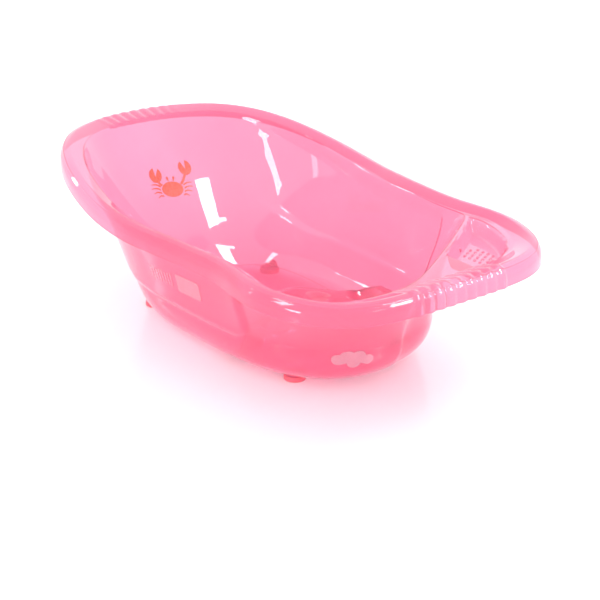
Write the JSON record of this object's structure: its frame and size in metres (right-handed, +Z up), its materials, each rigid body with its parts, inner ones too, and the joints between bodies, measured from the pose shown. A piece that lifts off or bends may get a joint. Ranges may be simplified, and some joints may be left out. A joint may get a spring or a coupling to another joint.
{
  "type": "baby bathtub",
  "caption": "Translucent moulded baby bathtub with a reclined head end, a rolled rim with ribbed grips, a corner soap recess, push-on feet and a lift-out drain plug.",
  "frame": {"origin": "on the ground under the middle of the tub's overall box, between the feet", "axes": "+Z up, +X along the tub towards the foot end, +Y across towards the soap recess's side"},
  "size_m": [0.896, 0.529, 0.2661],
  "materials": {
    "shell": "glossy translucent pink",
    "foot": "satin soft pink",
    "plug": "satin coral",
    "ring": "glossy off-white",
    "film": "clear glossy film"
  },
  "bodies": {
    "tub": {"tub_shell": "shell", "head_left_foot": "foot", "head_right_foot": "foot", "foot_left_foot": "foot", "foot_right_foot": "foot", "crab_film": "film", "cloud_film": "film", "side_film": "film"},
    "plug": {"drain_plug": "plug"},
    "ring": {"plug_ring": "ring"}
  },
  "joints": [
    {"name": "plug_lift", "type": "slide", "parent": "tub", "child": "plug", "axis": [0, 0, 1], "range_m": [0, 0.06]},
    {"name": "ring_turn", "type": "hinge", "parent": "plug", "child": "ring", "pos_m": [-0.105, 0, 0.016], "axis": [0, -1, 0], "range_deg": [0, 90]}
  ]
}
